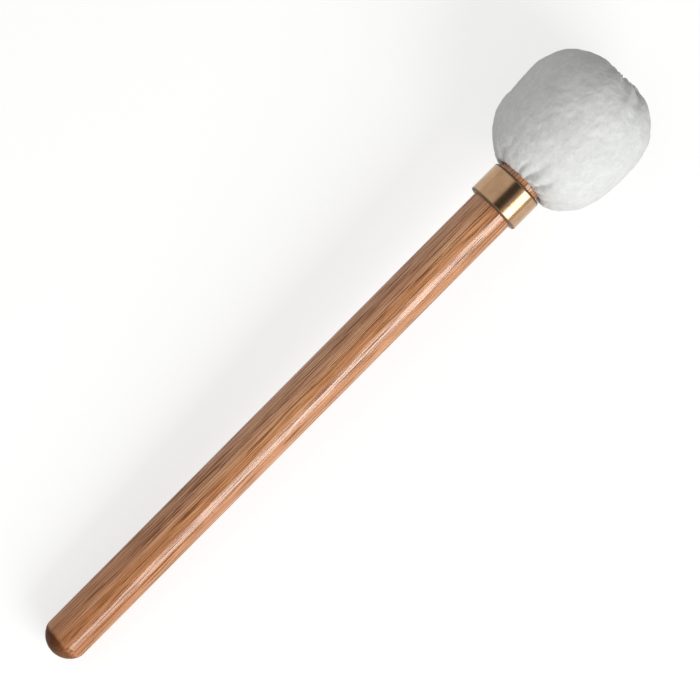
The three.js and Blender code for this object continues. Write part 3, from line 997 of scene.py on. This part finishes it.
def thread_ring(name, node):
    """Two twisted plies in a ring, and a knot that lies outwards, in the CAD thread's room."""
    low, high, inner, outer = measured(node)
    station = (low + high) / 2
    ring_radius = inner + ring_height
    turns = round_angles(ring_steps)
    twists = round(2 * math.pi * ring_radius / twist_length)
    grids = []
    for phase in (0, math.pi):
        sway = twists * turns + phase
        path = place(station + ply_offset * np.sin(sway), ring_radius + ply_offset * np.cos(sway), turns)
        grids.append(tube(path, ply_radius))
    loop = round_angles(knot_steps)
    swing = knot_size * (1 + knot_lobe * np.cos(3 * loop))
    middle = (inner + outer) / 2
    path = place(
        station + swing * np.sin(2 * loop),
        middle + knot_wave * np.sin(3 * loop),
        swing * np.cos(2 * loop) / middle,
    )
    grids.append(tube(path, knot_ply_radius))
    points, faces = [], []
    for grid in grids:
        first = sum(len(p) for p in points)
        points.append(grid.reshape(-1, 3))
        faces += [tuple(first + i for i in f) for f in grid_faces(*grid.shape[:2], loop=True)]
    return settle(mesh_object(name, np.concatenate(points), faces), "thread", node)


neck_thread = thread_ring("thread_neck", "neck_draw_thread")
crown_thread = thread_ring("thread_crown", "crown_draw_thread")
linen = new_finish("linen_thread", Roughness=0.8, Sheen_Weight=0.2, Sheen_Roughness=0.5)
strand = linen.clouds(linen.on_the_mallet(), (2500, 2500, 2500), 3, 0.6)
linen.feed(Base_Color=linen.mix(strand.between(0.35, 0.65), linen_dark, linen_pale))
linen.relief(strand, 0.05 * MM, 0.7)
linen.on(neck_thread, crown_thread)

# %% [markdown]
# The core, the washer and the screw are hard, and their CAD shapes are right, so the nodes stay and only
# get finishes: turned maple, whose pale rings run along the mallet, and bright steel with fine
# scratches.

# %% Maple and steel
maple_pith_distance = 30 * MM
maple_ring_width = 2.1 * MM
pale_maple, ring_maple, figure_maple = (0.68, 0.50, 0.30), (0.50, 0.33, 0.18), (0.42, 0.27, 0.15)
dark_steel, pale_steel = (0.50, 0.51, 0.52), (0.62, 0.62, 0.63)
maple = new_finish("maple_turned", Roughness=0.55)
spot = maple.on_the_mallet((0.2, 0.03, 0))
_, aside, height = maple.parts(spot)
waver = maple.clouds(spot, (12, 50, 50)) * (4 * MM)
year = ((aside**2 + (height + maple_pith_distance) ** 2) ** 0.5 + waver) / maple_ring_width
figure = maple.clouds(spot, (40, 2600, 2600), 3)
colour = maple.mix(year.fraction().between(0.6, 1.0) * 0.6, pale_maple, ring_maple)
maple.feed(Base_Color=maple.mix(figure.between(0.4, 0.7) * 0.3, colour, figure_maple))
maple.relief(figure, 0.05 * MM, 0.4)
maple.on(frame["nodes"]["head_core"])

steel = new_finish("steel_bright", Metallic=1.0)
scratch = steel.clouds(steel.on_the_mallet(), (300, 4000, 4000), 3)
steel.feed(
    Base_Color=steel.mix(scratch.between(0.3, 0.7), dark_steel, pale_steel),
    Roughness=0.25 + 0.2 * scratch,
)
steel.relief(scratch, 0.01 * MM, 0.4)
steel.on(frame["nodes"]["core_washer"], frame["nodes"]["core_screw"])

# %% [markdown]
# The floor is a large pale sheet. Part of its brightness is the lamps' light on it, which keeps the
# mallet's soft shadow. The rest is its own, and only the camera, shiny things and clear things see it,
# so that the paper is white but adds no light to the mallet.

# %% Floor
floor_reach = 20.0
paper_colour = 0.45
paper_glow = 0.67
paper_tooth = 0.01
paper_low, paper_high = (1 - paper_tooth) * paper_colour, (1 + paper_tooth) * paper_colour
floor_corners = np.array([(-1, -1, 0), (1, -1, 0), (1, 1, 0), (-1, 1, 0)]) * floor_reach
floor = mesh_object("floor_paper", floor_corners, [(0, 1, 2, 3)])
floor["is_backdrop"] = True
paper = new_finish("paper_white", Roughness=1.0, Specular_IOR_Level=0, Emission_Strength=1.0)
tooth = paper.clouds(paper.node("ShaderNodeTexCoord", output="Object"), (300, 300, 300))
rays = [
    paper.node("ShaderNodeLightPath", output=f"Is {kind} Ray")
    for kind in ("Camera", "Glossy", "Transmission")
]
shown = paper.node("ShaderNodeMath", {"use_clamp": True}, {0: rays[0] + rays[1], 1: rays[2]})
paper.feed(
    Base_Color=paper.mix(tooth, (paper_low,) * 3, (paper_high,) * 3),
    Emission_Color=paper.mix(shown, (0, 0, 0), (paper_glow,) * 3),
)
paper.on(floor)

# %% [markdown]
# One softbox stands beside the mallet, more to the butt's side than to the head's. Its mirror image is
# the brass's one bright band, and its light models the head. A large, dim card on the other side fills
# the shade. The rest is a grey room. It is darker past the head, which shades the crown, and a dark
# patch overhead, such as a camera on its stand leaves, is mirrored as the brass's dark band.

# %% Light
lamp_distance = 1.5
near_wall, far_wall = (0.45, 0.447, 0.43), (0.2, 0.199, 0.191)
patch_grey = (0.05, 0.05, 0.05)
patch_off_zenith, patch_inside, patch_outside = (math.radians(angle) for angle in (6, 16, 22))


def add_lamp(name, station, off_zenith, width, height, radiance):
    """A rectangular lamp that faces a station of the axis from so many degrees off the zenith.
    Blender gives an area lamp a radiance of 1 when its power is 4 W a square metre."""
    aim = math.cos(math.radians(off_zenith)) * upward + math.sin(math.radians(off_zenith)) * lit_side
    data = bpy.data.lights.new(name, "AREA")
    data.shape = "RECTANGLE"
    data.size, data.size_y = width, height
    data.energy = radiance * 4 * width * height
    lamp = bpy.data.objects.new(name, data)
    bpy.context.scene.collection.objects.link(lamp)
    turned = Matrix((towards_head, aim.cross(towards_head), aim)).transposed().to_4x4()
    lamp.matrix_world = Matrix.Translation(butt + towards_head * station + aim * lamp_distance) @ turned
    print(name, [round(x, 2) for x in lamp.matrix_world.translation], round(data.energy, 1), "W")


add_lamp("softbox", station=-0.05, off_zenith=58.5, width=1.2, height=0.86, radiance=4.55)
add_lamp("reflector_card", station=0.0, off_zenith=-51.5, width=1.6, height=2.25, radiance=0.275)

world = bpy.data.worlds.new("room")
bpy.context.scene.world = world
room = Finish(world, "Background")
sky = room.node("ShaderNodeTexCoord", output="Generated")
overhead = math.cos(patch_off_zenith) * upward + math.sin(patch_off_zenith) * lit_side
patch = room.combine("DOT_PRODUCT", sky, overhead, "Value")
patch = patch.between(math.cos(patch_outside), math.cos(patch_inside))
past_head = room.combine("DOT_PRODUCT", sky, towards_head, "Value").between(0.1, 1)
walls = room.mix(past_head, near_wall, far_wall)
room.feed(Color=room.mix(patch, walls, patch_grey))

# %% [markdown]
# Last, the sizes of the model and of what was drawn over it are written side by side, so that they can
# be compared after each render.

# %% Sizes
boxes = [[list(corner) for corner in box] for box in (cad_box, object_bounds())]
print("sizes, mm", [[round((b - a) / MM, 1) for a, b in zip(*box)] for box in boxes])
